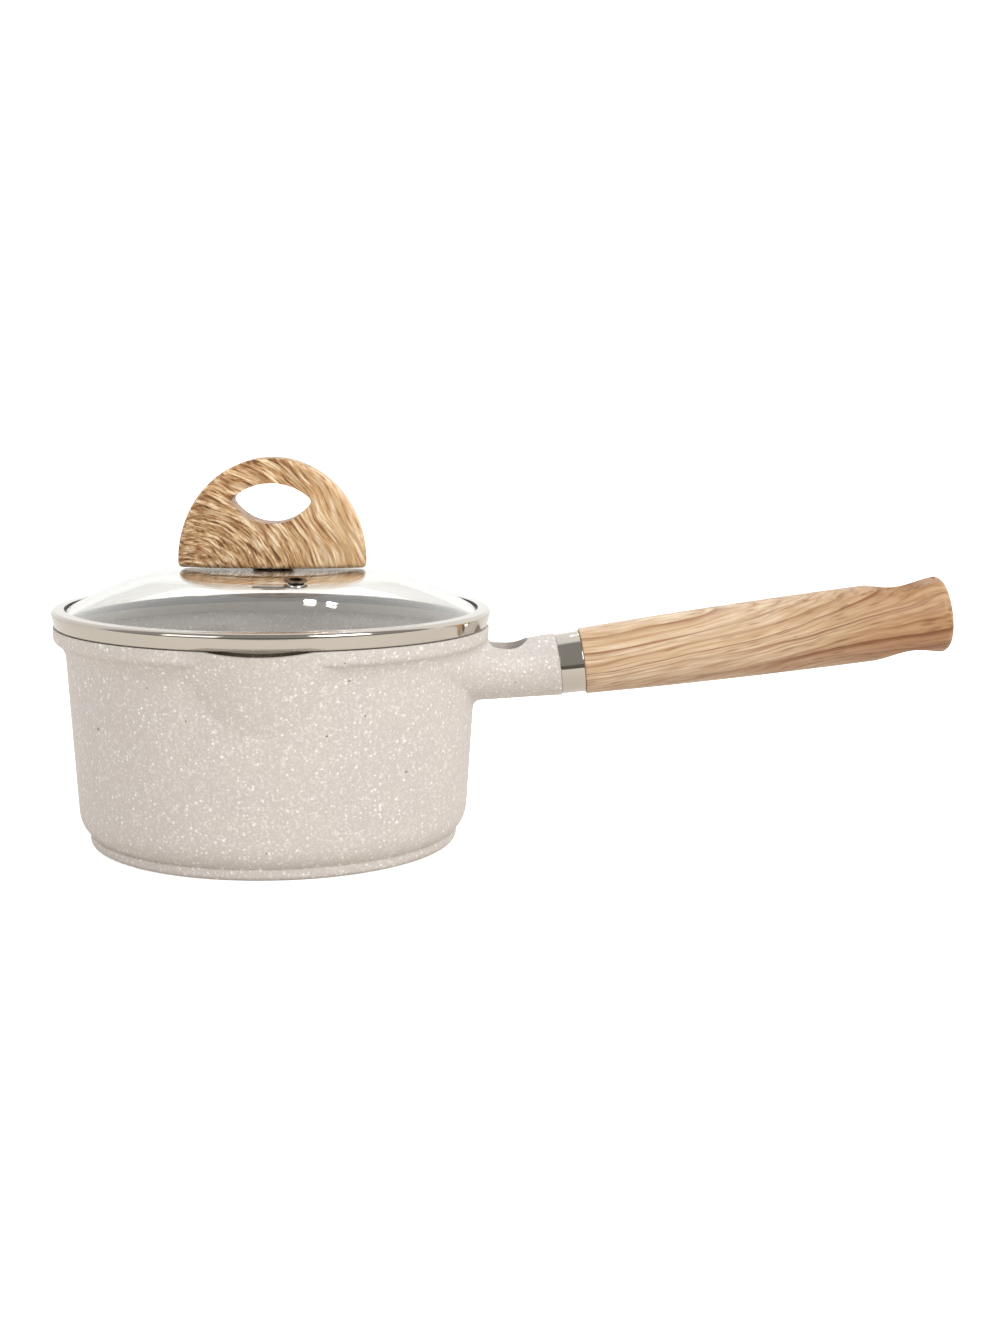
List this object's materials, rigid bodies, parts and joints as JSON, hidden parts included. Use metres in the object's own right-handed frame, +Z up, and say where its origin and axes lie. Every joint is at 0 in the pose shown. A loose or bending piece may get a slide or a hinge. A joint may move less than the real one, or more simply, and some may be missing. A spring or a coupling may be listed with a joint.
{
  "type": "saucepan with lid",
  "caption": "Non-stick saucepan with flared rim, opposed pouring spouts, a one-piece hanging handle and a lift-off domed glass lid with a finger-hole knob.",
  "frame": {"origin": "centre of the pan on the surface it stands on", "axes": "+Z up along the pan's axis, +X towards the handle, spouts on -Y and +Y"},
  "size_m": [0.3496, 0.1738, 0.1478],
  "materials": {
    "coating": "satin speckled stone-effect non-stick coating over cast aluminium",
    "base_steel": "perforated stainless base disc, turned finish",
    "polished_steel": "polished stainless steel",
    "wood_effect": "heat-resistant moulded plastic with a wood-grain print",
    "steel_fixing": "zinc-plated or stainless fastener",
    "brass_insert": "turned brass thread insert",
    "glass": "clear tempered glass",
    "silicone": "dark heat-resistant silicone"
  },
  "bodies": {
    "pan": {"pan_body": "coating", "induction_disc": "base_steel", "ferrule": "polished_steel", "grip": "wood_effect", "grip_insert": "brass_insert", "handle_screw": "steel_fixing", "handle_spring_washer": "steel_fixing"},
    "lid": {"lid_glass": "glass", "lid_rim_band": "polished_steel", "rim_seal": "silicone", "vent_eyelet": "polished_steel", "lid_knob": "wood_effect", "knob_insert": "brass_insert", "knob_screw": "steel_fixing", "knob_washer": "steel_fixing", "knob_gasket_upper": "silicone", "knob_gasket_lower": "silicone"}
  },
  "joints": [
    {"name": "lid_lift", "type": "slide", "parent": "pan", "child": "lid", "axis": [0, 0, 1], "range_m": [0, 0.12]}
  ]
}
